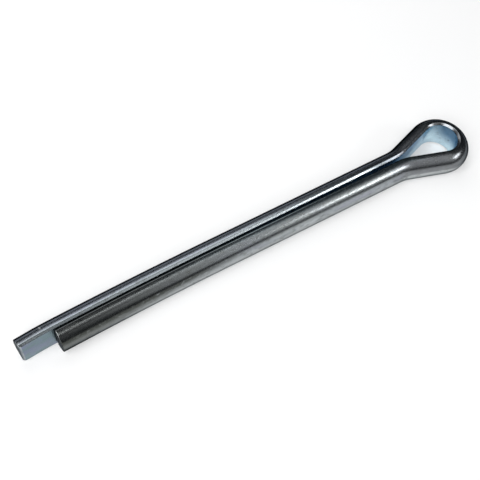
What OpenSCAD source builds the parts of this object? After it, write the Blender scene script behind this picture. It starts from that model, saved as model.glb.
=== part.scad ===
// Split pin (cotter pin): one length of half-round wire, bent double so that its two
// flats face each other in the legs and line the inside of the eye.

/* [Wire] */
// Diameter of the two legs together, halfway along their straight part
shank_d = 3.7; // [3.2:0.1:5.6]
// Radius on the two edges where the wire's flat meets its round back
edge_r = 0.28; // [0.16:0.02:0.36]

/* [Eye] */
// Inside radius of the eye, from its centre to the wire's flat
eye_r = 1.96; // [1.6:0.02:3]
// Angle at which each side of the eye runs in towards the shank
flare_angle = 17.5; // [14:0.5:26]
// Radius of the flat where each side of the eye turns into its leg
flare_r = 6.5; // [3:0.5:9]

/* [Legs] */
// Length of the short leg, from the foot of the eye to its end
short_leg = 43; // [38:0.5:80]
// How much further the long leg reaches than the short one
long_extra = 3.7; // [2.4:0.1:7]
// Gap between the flats at the foot of the eye
mouth_gap = 0.36; // [0.16:0.02:0.5]
// Gap between the flats at the end of the short leg
end_gap = 0.07; // [0.04:0.01:0.14]

/* [Ends] */
// Straight length behind each cut end
end_l = 1.5; // [1:0.1:2.2]
// Bevel round the back of each cut end
end_bevel = 0.18; // [0.05:0.01:0.4]

/* [Bow] */
// Distance from the foot of the eye to where the legs begin to bow sideways
bow_at = 24; // [20:0.5:30]
// Angle that the bow turns the ends to, from the shank's axis
bow_angle = 1.8; // [1:0.1:3]
// Radius of the turn where shearing nipped the long leg down
nip_r = 40; // [20:5:400]

/* [Hidden] */
$fn = 96;

zinc = [0.70, 0.73, 0.76];

// The gap narrows evenly along the straight legs, and the bow brings them parallel.
bow_l = short_leg - end_l - bow_at;
closing_angle = atan2(mouth_gap - end_gap, 2 * bow_at + bow_l);

// The wire's section is a circle of the shank's size, cut off short of its centre, so
// that halfway along the straight legs two of them share one centre.
back_r = shank_d / 2;
back_centre = [bow_at / 2 * tan(closing_angle) - mouth_gap / 2, 0];
// where the centre of an edge's rounding lies, across the flat
edge_z = sqrt(pow(back_r - edge_r, 2) - pow(edge_r - back_centre[0], 2));
// direction from the back's centre to that rounding
edge_dir = atan2(edge_z, edge_r - back_centre[0]);

// straight side of the eye, long enough to bring the flats to the mouth gap
side_l = (eye_r * cos(flare_angle) - mouth_gap / 2
    - flare_r * (cos(closing_angle) - cos(flare_angle))) / sin(flare_angle);
// centre of the eye, from the foot of the eye
eye_x = eye_r * sin(flare_angle) + side_l * cos(flare_angle)
    + flare_r * (sin(flare_angle) - sin(closing_angle));

// radius of the bow in each leg, whose two angles differ as they close
short_bow_r = bow_l / (sin(bow_angle) + sin(closing_angle));
long_bow_r = bow_l / (sin(bow_angle) - sin(closing_angle));
// angle of the turn between the short leg's end and the long one's
nip_angle = (long_extra - end_l) / nip_r * 180 / PI;

// The steps are joined at this scale, where they meet without slivers, and the joined
// wire is brought back to its full size.
joining = 0.001;

// A step of the wire is [length] for a straight run, or [radius, angle] for a bend.
// The radius is the flat's, and a positive angle turns towards the flat.
eye_to_bow = [
    [side_l],
    [flare_r, closing_angle - flare_angle],
    [bow_at / cos(closing_angle)],
];
short_steps = concat(eye_to_bow, [
    [short_bow_r, -bow_angle - closing_angle],
]);
long_steps = concat(eye_to_bow, [
    [long_bow_r, bow_angle - closing_angle],
    [end_l],
    [nip_r, nip_angle],
]);

// Half-round section: the flat on the Y axis, the round back towards +X.
module section() {
    intersection() {
        scale(joining)
            translate(back_centre)
                circle(r = back_r);
        scale(joining)
            polygon([
                [0, -edge_z],
                [edge_r, -edge_z],
                back_centre + 2 * back_r * [cos(edge_dir), -sin(edge_dir)],
                [3 * back_r, 0],
                back_centre + 2 * back_r * [cos(edge_dir), sin(edge_dir)],
                [edge_r, edge_z],
                [0, edge_z],
            ]);
    }
    for (side = [-1, 1])
        scale(joining)
            translate([edge_r, side * edge_z])
                circle(r = edge_r);
}

// Straight run along +X, with the flat on its right.
module run(length) {
    rotate([90, 0, 90])
        linear_extrude(length * joining)
            section();
}

// Last stretch of a leg, cut square, with the back bevelled round the cut.
module cut_end() {
    intersection() {
        run(end_l);
        scale(joining)
            translate([0, back_centre[0], 0])
                rotate([0, 90, 0])
                    cylinder(h = end_l, r1 = back_r - end_bevel + end_l,
                        r2 = back_r - end_bevel);
    }
}

// Bend that starts along +X and turns right, round the flat.
module bend_in(radius, angle) {
    translate([0, -radius, 0] * joining)
        rotate_extrude(start = 90, angle = -angle)
            translate([radius, 0] * joining)
                section();
}

// Bend that starts along +X and turns left, with the flat outermost.
module bend_out(radius, angle) {
    translate([0, radius, 0] * joining)
        rotate_extrude(start = -90, angle = angle)
            translate([radius, 0] * joining)
                mirror([1, 0])
                    section();
}

// The wire from one step to its cut end, each step starting where the last one ended.
module wire(steps, i = 0) {
    if (i == len(steps)) {
        cut_end();
    } else if (len(steps[i]) == 1) {
        run(steps[i][0]);
        translate([steps[i][0], 0, 0] * joining)
            wire(steps, i + 1);
    } else {
        radius = steps[i][0];
        angle = steps[i][1];
        side = sign(angle);
        if (side > 0)
            bend_in(radius, angle);
        else
            bend_out(radius, -angle);
        translate([sin(abs(angle)), side * (cos(angle) - 1), 0] * radius * joining)
            rotate([0, 0, -angle])
                wire(steps, i + 1);
    }
}

// The round of the eye, turned past a half circle as far as its straight sides.
module eye() {
    translate([eye_x, 0, 0] * joining)
        rotate_extrude(start = -90 - flare_angle, angle = 180 + 2 * flare_angle)
            translate([eye_r, 0] * joining)
                section();
}

// One side of the eye and its leg, on the side of -Y.
module leg(steps) {
    translate([eye_x, 0, 0] * joining)
        rotate([0, 0, -90 - flare_angle])
            translate([eye_r, 0, 0] * joining)
                rotate([0, 0, -90])
                    wire(steps);
}

module split_pin() {
    color(zinc)
    scale(1 / joining) {
        eye();
        leg(short_steps);
        mirror([0, 1, 0])
            leg(long_steps);
    }
}

split_pin();
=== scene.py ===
from math import atan2, cos, pi, radians, sin, sqrt, tan

import bpy
import numpy as np
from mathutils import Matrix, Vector


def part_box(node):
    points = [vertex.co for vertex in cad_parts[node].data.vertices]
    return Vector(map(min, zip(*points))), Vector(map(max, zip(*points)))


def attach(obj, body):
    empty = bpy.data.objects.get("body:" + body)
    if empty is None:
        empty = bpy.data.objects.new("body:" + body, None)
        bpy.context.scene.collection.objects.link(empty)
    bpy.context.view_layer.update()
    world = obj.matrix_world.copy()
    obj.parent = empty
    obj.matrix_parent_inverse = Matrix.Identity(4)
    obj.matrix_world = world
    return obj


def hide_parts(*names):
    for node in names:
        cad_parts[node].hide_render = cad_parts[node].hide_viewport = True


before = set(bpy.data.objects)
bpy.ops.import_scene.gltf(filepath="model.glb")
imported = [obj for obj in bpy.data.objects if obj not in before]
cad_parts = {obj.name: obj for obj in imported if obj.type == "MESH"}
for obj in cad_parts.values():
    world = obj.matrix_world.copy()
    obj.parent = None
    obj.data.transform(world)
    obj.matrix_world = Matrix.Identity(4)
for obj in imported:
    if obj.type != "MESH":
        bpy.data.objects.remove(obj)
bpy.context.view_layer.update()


# ---- The wire ----------------------------------------------------------------------
# The whole pin is one length of soft steel wire, drawn half round through a die, sheared
# off and bent double round a former, flat inwards. The legs lie flat to flat as a round
# shank, and the long one's extra length is the tip that they are prised open by.
MM = 0.001
SHANK = 3.7 * MM
EDGE_ROUND = 0.28 * MM
PRESSED_MIDDLE = radians(130)
PRESSED_HALF = radians(35)
PRESSED_POWER = 0.9
EYE_INSIDE = 1.96 * MM
FLARE_TURN = radians(17.5)
FLARE_ROUND = 6.5 * MM
SHORT_LEG = 43 * MM
LONG_EXTRA = 3.7 * MM
MOUTH_GAP = 0.36 * MM
END_GAP = 0.07 * MM
END_LENGTH = 1.5 * MM
BOW_AT = 24 * MM
BOW_TURN = radians(1.8)
NIP_ROUND = 40 * MM
RING_SPACING = 0.4 * MM
BEND_STEP = radians(2)

# The legs close on each other by one angle as far as the bow, where both turn sideways.
# The two backs share one centre half way to it, so the shank is round there. An edge's
# round lies within the back's and touches the flat. The eye's straight sides are as long
# as it takes for the flats to be half the mouth's gap off the middle at the eye's foot.
bow_length = SHORT_LEG - END_LENGTH - BOW_AT
closing = atan2(MOUTH_GAP - END_GAP, 2 * BOW_AT + bow_length)
back_round = SHANK / 2
back_centre = BOW_AT / 2 * tan(closing) - MOUTH_GAP / 2
edge_up = sqrt((back_round - EDGE_ROUND) ** 2 - (EDGE_ROUND - back_centre) ** 2)
edge_turn = atan2(edge_up, EDGE_ROUND - back_centre)
side_length = (
    EYE_INSIDE * cos(FLARE_TURN) - MOUTH_GAP / 2
    - FLARE_ROUND * (cos(closing) - cos(FLARE_TURN))
) / sin(FLARE_TURN)
eye_centre = (
    EYE_INSIDE * sin(FLARE_TURN) + side_length * cos(FLARE_TURN)
    + FLARE_ROUND * (sin(FLARE_TURN) - sin(closing))
)


def edge_reach(angle):
    """Radius of the wire's edge at an angle round it, the same above and below.

    Over the pressed part it is nearly that of a chord: the edge's round times
    cos(half width) / cos(angle from the middle), to a power just under one.
    """
    aside = np.minimum(np.abs(np.abs(angle) - PRESSED_MIDDLE), PRESSED_HALF)
    return EDGE_ROUND * (cos(PRESSED_HALF) / np.cos(aside)) ** PRESSED_POWER


def half_round(back_count, edge_count, flat_count):
    """Outline of the wire's section, as distances out from the flat and up from its middle.

    The back is an arc about a centre just behind the flat, out = centre + radius * cos
    and up = radius * sin of the angle. Each edge is a smaller arc that meets the back and
    the flat smoothly, with a radius of its own at each angle. The flat is at out = 0.
    """
    back = np.linspace(-edge_turn, edge_turn, back_count)
    upper = np.linspace(edge_turn, pi, edge_count)[1:]
    flat = np.linspace(edge_up, -edge_up, flat_count)[1:-1]
    lower = np.linspace(-pi, -edge_turn, edge_count)[:-1]
    outwards = np.concatenate([
        back_centre + back_round * np.cos(back),
        EDGE_ROUND + edge_reach(upper) * np.cos(upper),
        0 * flat,
        EDGE_ROUND + edge_reach(lower) * np.cos(lower),
    ])
    upwards = np.concatenate([
        back_round * np.sin(back),
        edge_up + edge_reach(upper) * np.sin(upper),
        flat,
        edge_reach(lower) * np.sin(lower) - edge_up,
    ])
    return outwards, upwards


def follow(steps):
    """Line of the flat from the eye's crown to one end, with its heading at each point.

    A step is a length, or a radius and the angle turned through. A straight point is the
    start plus the distance along the heading. A bend's point is on the circle whose
    centre stands off the start by the radius, square to the heading, and its heading
    turns in proportion to the distance.
    """
    x, y, heading = eye_centre + EYE_INSIDE, 0.0, -pi / 2
    parts = [np.array([[x, y, heading]])]
    for step in steps:
        if len(step) == 1:
            count = int(np.ceil(step[0] / RING_SPACING)) + 1
            distances = np.linspace(0, step[0], count + 1)[1:]
            headings = np.full(count, heading)
            xs = x + distances * cos(heading)
            ys = y + distances * sin(heading)
        else:
            radius, turn = step
            side = 1 if turn > 0 else -1
            count = int(np.ceil(abs(turn) * max(radius, back_round) / RING_SPACING)) + 1
            count = max(count, int(np.ceil(abs(turn) / BEND_STEP)))
            headings = heading - np.linspace(0, turn, count + 1)[1:]
            xs = x + side * radius * (sin(heading) - np.sin(headings))
            ys = y - side * radius * (cos(heading) - np.cos(headings))
        parts.append(np.stack([xs, ys, headings], axis=1))
        x, y, heading = parts[-1][-1]
    return np.concatenate(parts)


eye_to_bow = [
    (EYE_INSIDE, pi / 2 + FLARE_TURN),
    (side_length,),
    (FLARE_ROUND, closing - FLARE_TURN),
    (BOW_AT / cos(closing),),
]
short_side = follow(eye_to_bow + [
    (bow_length / (sin(BOW_TURN) + sin(closing)), -BOW_TURN - closing),
    (END_LENGTH,),
])
long_side = follow(eye_to_bow + [
    (bow_length / (sin(BOW_TURN) - sin(closing)), BOW_TURN - closing),
    (END_LENGTH,),
    (NIP_ROUND, (LONG_EXTRA - END_LENGTH) / NIP_ROUND),
    (END_LENGTH,),
])
# The long leg is laid out on the short one's side and turned over to its own, and the
# rings run from the long leg's end round the eye to the short leg's. Outward is square to
# the line, from the flat towards the back, and ahead is along it.
long_side = long_side[:0:-1]
line = np.concatenate([long_side[:, :2] * [1, -1], short_side[:, :2]])
outward = np.concatenate([
    np.stack([-np.sin(long_side[:, 2]), -np.cos(long_side[:, 2])], axis=1),
    np.stack([-np.sin(short_side[:, 2]), np.cos(short_side[:, 2])], axis=1),
])
run = np.concatenate([[0], np.cumsum(np.hypot(*np.diff(line, axis=0).T))])
from_crown = run - run[len(long_side)]
ahead = np.stack([outward[:, 1], -outward[:, 0]], axis=1)

# How the two ends were cut.
END_BEVEL = 0.09 * MM
BEVEL_WAVE = 0.18
BEVEL_RIPPLE = 0.1
TIP_ROLL = 0.34 * MM
SHORT_ROLL = 0.12 * MM
END_SET_BACK = 0.01 * MM
CORNER_DRAG = 1.8
FACE_MIDDLE = 0.75 * MM
FACE_DISH = 0.03 * MM
FACE_RUN = 2 * MM
ROLL_RINGS = 12
FACE_RINGS = 8
LAST_RING_SIZE = 0.02
RING_CROWDING = 1.2

# Rings that would lie within the long end's rolled edge are left out.
wall_start = 1.2 * TIP_ROLL
kept = (run == 0) | (run > wall_start)
line = line[kept]
outward = outward[kept]
ahead = ahead[kept]
from_crown = from_crown[kept]

section_out, section_up = half_round(back_count=73, edge_count=22, flat_count=13)
ring_size = len(section_out)


def end_rings(roll):
    """Rings over one cut end: how far back each lies, and its section out and up.

    Over a quarter turn a ring stands roll * (1 - sin) back from the end, and the flat and
    its edges move out there by roll * (1 - cos) * the square of 1 - out / middle, so that
    the back keeps its place. Shearing drags the back over too: each point keeps its
    direction from the back's centre, while its distance is held to back radius minus
    bevel * (1 - root of 1 - share squared), where the share rises from nought to one over
    the bevel. The lower corner is held in further, by drag * roll * (1 - cos) * the square
    of how far it lies below half the edge's height. On the face the last section shrinks
    evenly to the middle of the wire, and the face is very slightly dished.
    """
    turn = np.linspace(0, pi / 2, ROLL_RINGS + 1)[1:, None]
    back = roll * (1 - np.sin(turn))
    over = roll * (1 - np.cos(turn))
    angle = np.arctan2(section_up, section_out - back_centre)
    reach = np.hypot(section_up, section_out - back_centre)
    uneven = 1 + BEVEL_WAVE * np.sin(2 * angle + 0.6) + BEVEL_RIPPLE * np.sin(5 * angle)
    share = np.clip(1 - back / END_BEVEL, 0, 1)
    bevel = END_BEVEL * uneven * (1 - np.sqrt(1 - share ** 2))
    corner = CORNER_DRAG * over * np.clip(-section_up / edge_up - 0.5, 0, 1) ** 2
    held = np.minimum(reach, back_round - bevel - corner)
    roll_up = held * np.sin(angle)
    roll_out = back_centre + held * np.cos(angle)
    roll_out = roll_out + over * np.clip(1 - roll_out / FACE_MIDDLE, 0, 1) ** 2
    shrink = np.linspace(1, LAST_RING_SIZE, FACE_RINGS + 1)[1:, None] ** RING_CROWDING
    face_out = FACE_MIDDLE + shrink * (roll_out[-1] - FACE_MIDDLE)
    face_back = FACE_DISH * (1 - shrink) ** 2
    return (
        np.concatenate([back + 0 * roll_out, face_back + 0 * face_out]),
        np.concatenate([roll_out, face_out]),
        np.concatenate([roll_up, shrink * roll_up[-1]]),
    )


def carry(points, out_dirs, outwards, upwards):
    """Section points set on the line: place = line point + out * outward, at their height."""
    flat_place = points + out_dirs * outwards[..., None]
    return np.concatenate([flat_place, upwards[..., None]], axis=2)


tip_back, tip_out, tip_up = end_rings(TIP_ROLL)
short_back, short_out, short_up = end_rings(SHORT_ROLL)
long_cap = carry(line[0] + ahead[0] * (END_SET_BACK + tip_back[..., None]), outward[0], tip_out, tip_up)
short_cap = carry(line[-1] - ahead[-1] * short_back[..., None], outward[-1], short_out, short_up)

# The last ring of the swept wall stands where the rolled edge starts, its length back.
wall_line = line.copy()
wall_line[0] += ahead[0] * (END_SET_BACK + TIP_ROLL)
wall_line[-1] -= ahead[-1] * SHORT_ROLL
wall_run = from_crown.copy()
wall_run[0] += END_SET_BACK + TIP_ROLL
wall_run[-1] -= SHORT_ROLL
wall_out = np.broadcast_to(section_out, (len(line), ring_size))
wall_up = np.broadcast_to(section_up, (len(line), ring_size))
wall = carry(wall_line[:, None], outward[:, None], wall_out, wall_up)

# Where each point lay in the straight wire: its distance from the crown, out and up. On
# the cut faces the distance runs on past the end, by more towards the middle of the face.
past_end = np.linspace(0, FACE_RUN, FACE_RINGS + 1)[1:]
past_end = np.concatenate([np.zeros(ROLL_RINGS), past_end])[:, None]
wall_rest = np.stack([wall_run[:, None] + 0 * wall_out, wall_out, wall_up], axis=2)
long_rest = np.stack([from_crown[0] + tip_back - past_end, tip_out, tip_up], axis=2)
short_rest = np.stack([from_crown[-1] - short_back + past_end, short_out, short_up], axis=2)

places = np.concatenate([long_cap[::-1], wall, short_cap])
rest_places = np.concatenate([long_rest[::-1], wall_rest, short_rest])
rings = len(places)
ring_start = np.arange(rings - 1)[:, None] * ring_size
ring_place = np.arange(ring_size)[None, :]
here = ring_start + ring_place
beside = ring_start + (ring_place + 1) % ring_size
walls = np.stack([here, beside, beside + ring_size, here + ring_size], axis=2).reshape(-1, 4)
face_middles = [
    np.arange(ring_size)[::-1].tolist(),
    np.arange((rings - 1) * ring_size, rings * ring_size).tolist(),
]
wire_mesh = bpy.data.meshes.new("split_pin_wire")
wire_mesh.from_pydata(places.reshape(-1, 3).tolist(), [], walls.tolist() + face_middles)
wire_mesh.polygons.foreach_set("use_smooth", np.ones(len(wire_mesh.polygons), dtype=bool))
rest_map = wire_mesh.attributes.new("straight_wire", "FLOAT_VECTOR", "POINT")
rest_map.data.foreach_set("vector", rest_places.reshape(-1).astype(np.float32))
wire = bpy.data.objects.new("split_pin_wire", wire_mesh)
bpy.context.scene.collection.objects.link(wire)


class Signal:
    """One output of a shader's nodes; arithmetic on it adds Math nodes."""

    def __init__(self, finish, socket):
        self.finish = finish
        self.socket = socket

    def other_output(self, name):
        """Another output of the same node."""
        return Signal(self.finish, self.socket.node.outputs[name])

    def join(self, operation, first, second):
        settings = {"operation": operation}
        return self.finish.node("ShaderNodeMath", settings, {0: first, 1: second})

    def __add__(self, other):
        return self.join("ADD", self, other)

    def __radd__(self, other):
        return self.join("ADD", other, self)

    def __sub__(self, other):
        return self.join("SUBTRACT", self, other)

    def __rsub__(self, other):
        return self.join("SUBTRACT", other, self)

    def __mul__(self, other):
        return self.join("MULTIPLY", self, other)

    def __rmul__(self, other):
        return self.join("MULTIPLY", other, self)

    def __abs__(self):
        return self.finish.node("ShaderNodeMath", {"operation": "ABSOLUTE"}, {0: self})


class Finish:
    """A material and its nodes."""

    def __init__(self, name):
        self.material = bpy.data.materials.new(name)
        self.material.use_nodes = True
        self.tree = self.material.node_tree
        self.shader = self.tree.nodes["Principled BSDF"]

    def put(self, socket, value):
        """Links a signal to a socket, or sets the socket's own value."""
        if isinstance(value, Signal):
            self.tree.links.new(value.socket, socket)
        else:
            socket.default_value = value

    def node(self, kind, settings, sockets, output=0):
        """Adds a node: its settings first, then its sockets' values or links."""
        added = self.tree.nodes.new(kind)
        for name, value in settings.items():
            setattr(added, name, value)
        for name, value in sockets.items():
            self.put(added.inputs[name], value)
        return Signal(self, added.outputs[output])

    def stretched(self, place, scales):
        """A place times one scale for each of its three directions."""
        settings = {"operation": "MULTIPLY"}
        return self.node("ShaderNodeVectorMath", settings, {0: place, 1: scales})

    def distance(self, place, other):
        """How far apart two places are."""
        settings = {"operation": "DISTANCE"}
        return self.node("ShaderNodeVectorMath", settings, {0: place, 1: other}, "Value")

    def noise(self, place, scales, detail, roughness):
        """Noise with the given number of clumps to the metre in each direction."""
        sockets = {
            "Vector": self.stretched(place, scales), "Scale": 1.0,
            "Detail": detail, "Roughness": roughness,
        }
        return self.node("ShaderNodeTexNoise", {}, sockets)

    def between(self, value, low, high):
        """Nought at low, one at high, and a smooth rise from one to the other."""
        settings = {"interpolation_type": "SMOOTHSTEP"}
        sockets = {"Value": value, "From Min": low, "From Max": high}
        return self.node("ShaderNodeMapRange", settings, sockets)

    def mix(self, share, first, second):
        """Two colours mixed: the first where the share is nought, the second where it is one."""
        sockets = {0: share, 6: first, 7: second}
        return self.node("ShaderNodeMix", {"data_type": "RGBA"}, sockets, 2)

    def tinted(self, colour, tint, share, *limits):
        """A colour with a tint laid over it, to the given share.

        Each limit is a value and the two levels between which the tint comes on, and the
        share is multiplied by how far it has come on by each of them.
        """
        for value, bare, full in limits:
            share = share * self.between(value, bare, full)
        return self.mix(share, colour, tint)

    def dress(self, sockets):
        """Sets or links the main shader's sockets, and returns its output."""
        for name, value in sockets.items():
            self.put(self.shader.inputs[name], value)
        return Signal(self, self.shader.outputs["BSDF"])

    def surface(self, shader):
        """Joins a shader to the material's output."""
        self.put(self.tree.nodes["Material Output"].inputs["Surface"], shader)


# Bright zinc with a thin passivation film: bluish on the flats that were inside the bend, greyer
# on the back, with faint lilac and olive clouds, die lines and handling, and painted reflections.
BACK_ZINC = (0.355, 0.380, 0.402, 1)
BLUE_ZINC = (0.640, 0.800, 0.860, 1)
DEEP_BLUE_AND_SHADE = (0.130, 0.245, 0.370, 1)
LILAC_ZINC = (0.350, 0.355, 0.415, 1)
LONG_ZINC = (0.270, 0.295, 0.348, 1)
OLIVE_ZINC = (0.330, 0.352, 0.356, 1)
DULL_ZINC = (0.146, 0.153, 0.147, 1)
TIP_ZINC = (0.215, 0.225, 0.285, 1)
TIP_GREEN = (0.195, 0.245, 0.245, 1)
BLOOM_AND_HIGHLIGHT = (0.480, 0.510, 0.530, 1)
EYE_PAINTED_SHADE = (0.165, 0.170, 0.180, 1)
SEAM_PAINTED_SHADE = (0.165, 0.205, 0.220, 1)
SEAM_PAINTED_LIGHT = (0.425, 0.480, 0.500, 1)
LONG_PAINTED_SHADE = (0.070, 0.082, 0.090, 1)
RIM_PAINTED_HIGHLIGHT = (0.640, 0.700, 0.730, 1)
FLANK_PAINTED_SHADE = (0.052, 0.056, 0.050, 1)
FLANK_PAINTED_LIGHT = (0.600, 0.625, 0.630, 1)
PAINTED_SHADE = (0.050, 0.052, 0.056, 1)
BARE_STEEL = (0.240, 0.260, 0.270, 1)
BRIGHT_STEEL = (0.800, 0.800, 0.800, 1)
BACK_EDGE_SHADE = (0.04, 0.05, 0.06, 1)
FLAT_SHEEN = (0.62, 0.70, 0.78, 1)
PLATING_ROUGHNESS = 0.13
MOTTLE_ROUGHNESS = 0.18
LINE_ROUGHNESS = 0.06
CUT_ROUGHNESS = 0.16
END_SMOOTHNESS = 0.04
LINE_HEIGHT = 0.0008 * MM
GRAIN_HEIGHT = 0.0003 * MM
MOTTLE_HEIGHT = 0.0002 * MM
NICK_DEPTH = 0.06 * MM
NICK_FROM_TIP = 2.6 * MM
NICK_OUT = 0.83 * MM
NICK_UP = 1.58 * MM
NICK_NARROWING = 2.5
NICK_REACH = 0.26 * MM
NICK_CORE = 0.12 * MM

# Places in the straight wire, in millimetres: along from the crown, out from the flat and
# up from the middle, then down the long leg, in from its tip, and past the short end.
zinc = Finish("zinc_plated_steel")
rest = zinc.node("ShaderNodeAttribute", {"attribute_name": "straight_wire"}, {}, "Vector")
along = zinc.node("ShaderNodeSeparateXYZ", {}, {0: zinc.stretched(rest, (1 / MM, 1 / MM, 1 / MM))})
out = along.other_output("Y")
up = along.other_output("Z")
down_long = -1 * along
from_tip = along - from_crown[0] / MM
past_short = along - from_crown[-1] / MM

clouds = zinc.noise(rest, (130, 420, 420), detail=3.0, roughness=0.55)
blooms = zinc.noise(rest, (260, 900, 900), detail=3.0, roughness=0.6)
patches = zinc.noise(rest, (330, 0, 520), detail=3.0, roughness=0.6)
mottle = zinc.noise(rest, (1500, 2600, 2600), detail=4.0, roughness=0.65)
die_lines = zinc.noise(rest, (45, 3600, 3600), detail=3.0, roughness=0.6)
grain = zinc.noise(rest, (5200, 8200, 8200), detail=2.0, roughness=0.6)
on_flat = 1 - zinc.between(out, 0.002, 0.04)
on_short_end = zinc.between(along, 24, 50)
cut_face = zinc.between(past_short, 0.1, 0.2) + zinc.between(from_tip, -0.1, -0.2)
nick_place = (NICK_NARROWING * (from_crown[0] + NICK_FROM_TIP), NICK_OUT, NICK_UP)
off_nick = zinc.distance(zinc.stretched(rest, (NICK_NARROWING, 1, 1)), nick_place)
nick = zinc.between(off_nick, NICK_REACH, NICK_CORE)

# The flats are blue, deeper in patches. Deeper blue towards the top and paler blue on either
# side of the eye's crown are painted reflection. The long tip's flat is worn to lilac and green.
painted_light_beside_crown = zinc.between(abs(along), 0.6, 2.8) * zinc.between(abs(along), 7.5, 4)
painted_shade_top = 0.45 * zinc.between(up, -0.6, 1.3)
painted_shade_crown = 0.7 * zinc.between(up, -1.1, 0.4) * (1 - painted_light_beside_crown)
deep_patches = 0.22 * zinc.between(patches, 0.46, 0.64)
flat_film_and_reflection = zinc.mix(painted_shade_top + painted_shade_crown + deep_patches, BLUE_ZINC, DEEP_BLUE_AND_SHADE)
tip_film = zinc.mix(zinc.between(patches, 0.42, 0.58), TIP_ZINC, TIP_GREEN)

# The back is cloudy. The long leg is cooler, the short one has pale blooms below its top,
# and the eye's upper half is darkened, a painted shade.
film_and_painted_light = zinc.mix(zinc.between(clouds, 0.42, 0.62), BACK_ZINC, OLIVE_ZINC)
film_and_painted_light = zinc.tinted(film_and_painted_light, LILAC_ZINC, 0.6, (clouds, 0.46, 0.34))
film_and_painted_light = zinc.tinted(film_and_painted_light, LONG_ZINC, 0.7, (down_long, 4, 14))
film_and_painted_light = zinc.tinted(film_and_painted_light, BLOOM_AND_HIGHLIGHT, 0.9, (blooms, 0.42, 0.58), (up, 1.0, 0.4), (along, -3, 1))
film_and_painted_light = zinc.tinted(film_and_painted_light, EYE_PAINTED_SHADE, 0.75, (abs(along), 13, 8), (up, -0.3, 0.2))

# The stripes from here on are painted reflections, stronger than real plating has: painted
# shade and painted highlights for what bright zinc mirrors in a room, where lamps alone don't
# give it. Beside the seam the short leg has painted shade, and the long one's edge a painted
# highlight but painted shade near the eye. High on the long leg's far side is painted shade.
film_and_painted_light = zinc.tinted(film_and_painted_light, SEAM_PAINTED_SHADE, 0.9, (up, 0.5, 1.1), (out, 0.85, 0.5), (along, 5, 9))
film_and_painted_light = zinc.tinted(film_and_painted_light, SEAM_PAINTED_LIGHT, 0.9, (up, 0.5, 1.1), (out, 0.36, 0.26), (down_long, 14, 26))
film_and_painted_light = zinc.tinted(film_and_painted_light, LONG_PAINTED_SHADE, 0.9, (down_long, 8, 13), (down_long, 32, 20), (out, 0.65, 0.4))
film_and_painted_light = zinc.tinted(film_and_painted_light, RIM_PAINTED_HIGHLIGHT, 0.85, (up, 0.5, 1.1), (out, 0.22, 0.12), (down_long, 12, 16))
film_and_painted_light = zinc.tinted(film_and_painted_light, PAINTED_SHADE, 0.85, (out, 0.8, 1.1), (up, 0.55, 1.0), (down_long, 0, 4))
film_and_painted_light = zinc.mix(0.92 * on_flat, film_and_painted_light, flat_film_and_reflection)

# Towards the short end it is duller all over, with painted shade on the edge and high on the
# flank. Low on its flanks the whole pin is lighter, a painted reflection, but for that end.
film_and_painted_light = zinc.mix(0.85 * on_short_end, film_and_painted_light, DULL_ZINC)
film_and_painted_light = zinc.tinted(film_and_painted_light, PAINTED_SHADE, 0.6, (along, 26, 41), (out, 0.42, 0.36), (up, 0.9, 1.3))
film_and_painted_light = zinc.tinted(
    film_and_painted_light, FLANK_PAINTED_SHADE, 0.9, (along, 26, 41), (up, 1.2, 1.0), (up, 0.3, 0.85), (mottle, 0.25, 0.5),
)
film_and_painted_light = zinc.tinted(film_and_painted_light, FLANK_PAINTED_LIGHT, 0.9 * (1 - on_flat), (up, 0.4, 0), (along, 54, 38))

# Handling and cutting leave the long tip's flat worn, a mottle all over, bare steel on the
# cut faces and one bright nick. The tip's rolled edge is lightened, a painted highlight.
film_and_painted_light = zinc.tinted(film_and_painted_light, tip_film, 0.9 * on_flat, (down_long, 30, 50))
film_and_painted_light = zinc.tinted(film_and_painted_light, DULL_ZINC, 0.4 - 0.2 * on_flat, (mottle, 0.5, 0.66))
film_and_painted_light = zinc.tinted(film_and_painted_light, BLOOM_AND_HIGHLIGHT, 0.9, (from_tip, 0.28, 0.12), (out, 0.9, 0.5))
film_and_painted_light = zinc.mix(cut_face, film_and_painted_light, BARE_STEEL)
film_and_painted_light = zinc.mix(nick, film_and_painted_light, BRIGHT_STEEL)

gloss = PLATING_ROUGHNESS + MOTTLE_ROUGHNESS * mottle + LINE_ROUGHNESS * die_lines
gloss = gloss + CUT_ROUGHNESS * cut_face - END_SMOOTHNESS * on_short_end
relief = LINE_HEIGHT * die_lines + GRAIN_HEIGHT * grain + MOTTLE_HEIGHT * mottle
relief = relief - NICK_DEPTH * nick
bump = zinc.node("ShaderNodeBump", {}, {"Strength": 1.0, "Distance": 1.0, "Height": relief})

# The back's edge-on reflection is darkened, a painted shade, and the pressed flat's much less.
plating = {"Base Color": film_and_painted_light, "Metallic": 1.0, "Roughness": gloss, "Normal": bump}
back_side = zinc.dress({**plating, "Specular Tint": BACK_EDGE_SHADE})
flat_side = zinc.node("ShaderNodeBsdfPrincipled", {}, {**plating, "Specular Tint": FLAT_SHEEN})
zinc.surface(zinc.node("ShaderNodeMixShader", {}, {0: on_flat, 1: back_side, 2: flat_side}))
wire_mesh.materials.append(zinc.material)

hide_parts("split_pin")
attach(wire, "root")


# ---- The floor ---------------------------------------------------------------------
# A plain matt white sheet of card, which the pin lies on. It glows faintly of itself, to
# the eye and in reflections, so that it stays white and still keeps the pin's shadow.
FLOOR_REACH = 1.5
SHEET_WHITE = (0.95, 0.95, 0.95, 1)
SHEET_ROUGHNESS = 0.95
SHEET_SHINE = 0.1
SHEET_GLOW = 0.25
GLOW_WHITE = (1, 1, 1, 1)

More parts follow.
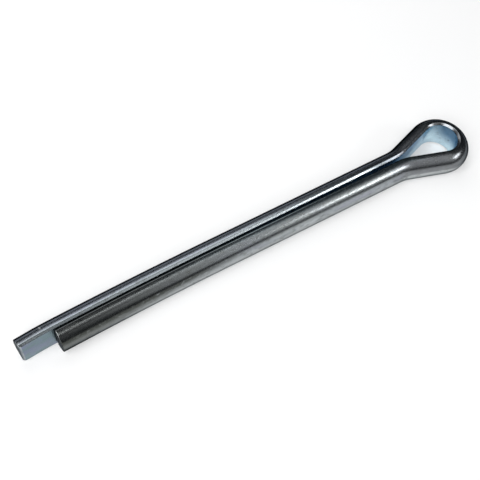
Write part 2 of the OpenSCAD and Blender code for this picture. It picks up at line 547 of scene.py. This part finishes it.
low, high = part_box("split_pin")
floor_mesh = bpy.data.meshes.new("floor_sheet")
floor_mesh.from_pydata([
    (-FLOOR_REACH, -FLOOR_REACH, low.z), (FLOOR_REACH, -FLOOR_REACH, low.z),
    (FLOOR_REACH, FLOOR_REACH, low.z), (-FLOOR_REACH, FLOOR_REACH, low.z),
], [], [(0, 1, 2, 3)])
floor_sheet = bpy.data.objects.new("floor_sheet", floor_mesh)
bpy.context.scene.collection.objects.link(floor_sheet)

paper = Finish("white_sheet")
matt = paper.dress({
    "Base Color": SHEET_WHITE, "Roughness": SHEET_ROUGHNESS, "Specular IOR Level": SHEET_SHINE,
})
seen = paper.node("ShaderNodeLightPath", {}, {}, "Is Camera Ray")
mirrored = seen.other_output("Is Glossy Ray")
seen_through = seen.other_output("Is Transmission Ray")
glow = paper.node("ShaderNodeEmission", {}, {"Color": GLOW_WHITE, "Strength": 1.0})
glow_share = SHEET_GLOW * (seen + mirrored + seen_through)
paper.surface(paper.node("ShaderNodeMixShader", {}, {0: glow_share, 1: matt, 2: glow}))
floor_mesh.materials.append(paper.material)


# ---- The lamps ---------------------------------------------------------------------
# Soft lamps stand round the pin. A large one behind the camera lights the floor. Four
# smaller ones on its right, two low and two high, and a pale panel on the far side draw
# the lines along the shank.
LAMP_DISTANCE = 0.3
PANEL_DISTANCE = 0.12
ROOM_GREY = (0.035, 0.04, 0.045, 1)

pin_middle = Vector(((low.x + high.x) / 2, 0, 0))


def soft_lamp(name, azimuth, elevation, wide, tall, brightness, distance=LAMP_DISTANCE):
    """A rectangular lamp that faces the pin, with its place and its breadth in degrees."""
    data = bpy.data.lights.new(name, "AREA")
    data.shape = "RECTANGLE"
    data.size = 2 * distance * tan(radians(wide) / 2)
    data.size_y = 2 * distance * tan(radians(tall) / 2)
    data.energy = brightness * pi * data.size * data.size_y
    lamp = bpy.data.objects.new(name, data)
    turn = radians(azimuth)
    lift = radians(elevation)
    towards = Vector((cos(turn) * cos(lift), sin(turn) * cos(lift), sin(lift)))
    lamp.location = pin_middle + distance * towards
    lamp.rotation_euler = towards.to_track_quat("Z", "Y").to_euler()
    lamp.visible_camera = False
    bpy.context.scene.collection.objects.link(lamp)


soft_lamp("lamp_key", azimuth=316, elevation=30, wide=22, tall=7, brightness=9)
soft_lamp("lamp_glow", azimuth=303, elevation=30, wide=42, tall=28, brightness=0.55)
soft_lamp("lamp_tube", azimuth=294, elevation=62, wide=24, tall=4, brightness=2.6)
soft_lamp("lamp_haze", azimuth=300, elevation=52, wide=24, tall=15, brightness=0.68)
soft_lamp(
    "lamp_panel", azimuth=80, elevation=54, wide=44, tall=56, brightness=1.55,
    distance=PANEL_DISTANCE,
)
soft_lamp("lamp_behind", azimuth=205, elevation=52, wide=46, tall=46, brightness=4.7)

studio = bpy.data.worlds.new("studio")
studio.use_nodes = True
studio.node_tree.nodes["Background"].inputs["Color"].default_value = ROOM_GREY
bpy.context.scene.world = studio


# ---- The camera --------------------------------------------------------------------
# It stands close over the pin, beside the short leg's end, and looks down on it, so that
# the shank narrows a little towards the eye.
CAMERA_PLACE = Vector((-49.262, -34.092, 70.969)) * MM
CAMERA_TURNS = (radians(31.772), radians(-4.640), radians(-31.871))
LENS_LENGTH = 57.75
SENSOR_WIDTH = 36
NEAREST_SEEN = 1 * MM

camera_lens = bpy.data.cameras.new("camera")
camera_lens.lens = LENS_LENGTH
camera_lens.sensor_width = SENSOR_WIDTH
camera_lens.clip_start = NEAREST_SEEN
camera = bpy.data.objects.new("camera", camera_lens)
camera.location = CAMERA_PLACE
camera.rotation_euler = CAMERA_TURNS
bpy.context.scene.collection.objects.link(camera)
bpy.context.scene.camera = camera
bpy.context.scene.view_settings.view_transform = "Standard"
